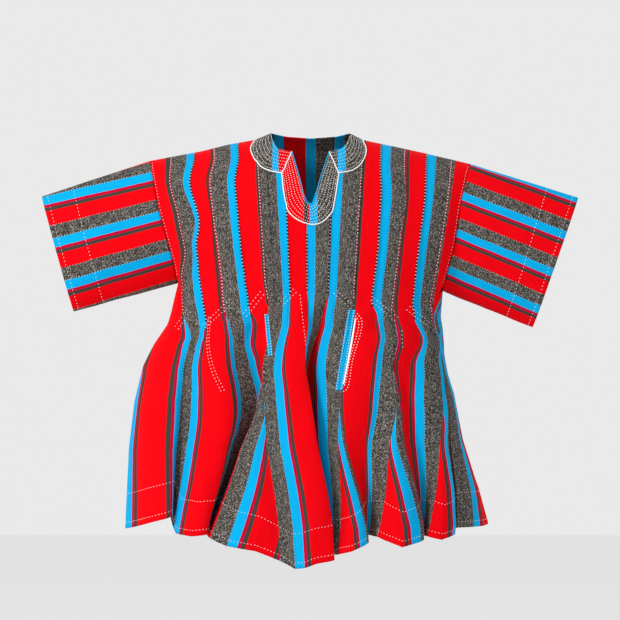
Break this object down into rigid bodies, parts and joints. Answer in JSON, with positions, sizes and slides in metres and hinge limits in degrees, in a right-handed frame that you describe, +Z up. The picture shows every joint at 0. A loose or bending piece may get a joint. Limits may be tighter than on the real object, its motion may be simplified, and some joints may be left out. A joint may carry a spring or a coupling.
{
  "type": "fugu smock",
  "caption": "Wide hand-woven striped smock on a general figure, with short wide sleeves, a slit neck with a stitched band, and a full fluted skirt.",
  "frame": {"origin": "at the base of the neck, between the shoulders, on the shoulder line", "axes": "+X to the right-hand side seen from the front, the front faces -Y, +Z up"},
  "size_m": [1.024, 0.4379, 0.8212],
  "materials": {
    "striped_cloth": "coarse hand-woven cotton, striped red, blue, grey and charcoal",
    "band_cloth": "coarse hand-woven cotton with rows of white stitches",
    "blue_cloth": "coarse hand-woven cotton, plain blue"
  },
  "bodies": {
    "root": {"front_strip_1": "striped_cloth", "front_strip_2": "striped_cloth", "front_strip_3": "striped_cloth", "front_strip_4": "striped_cloth", "front_strip_5": "striped_cloth", "front_strip_6": "striped_cloth", "front_strip_7": "striped_cloth", "front_strip_8": "striped_cloth", "back_strip_1": "striped_cloth", "back_strip_2": "striped_cloth", "back_strip_3": "striped_cloth", "back_strip_4": "striped_cloth", "back_strip_5": "striped_cloth", "back_strip_6": "striped_cloth", "back_strip_7": "striped_cloth", "back_strip_8": "striped_cloth", "sleeve_left": "striped_cloth", "sleeve_right": "striped_cloth", "neck_band_left": "band_cloth", "neck_band_right": "band_cloth", "neck_band_back": "band_cloth", "placket": "band_cloth", "pocket_welt_left": "blue_cloth", "pocket_welt_right": "blue_cloth"}
  },
  "joints": []
}
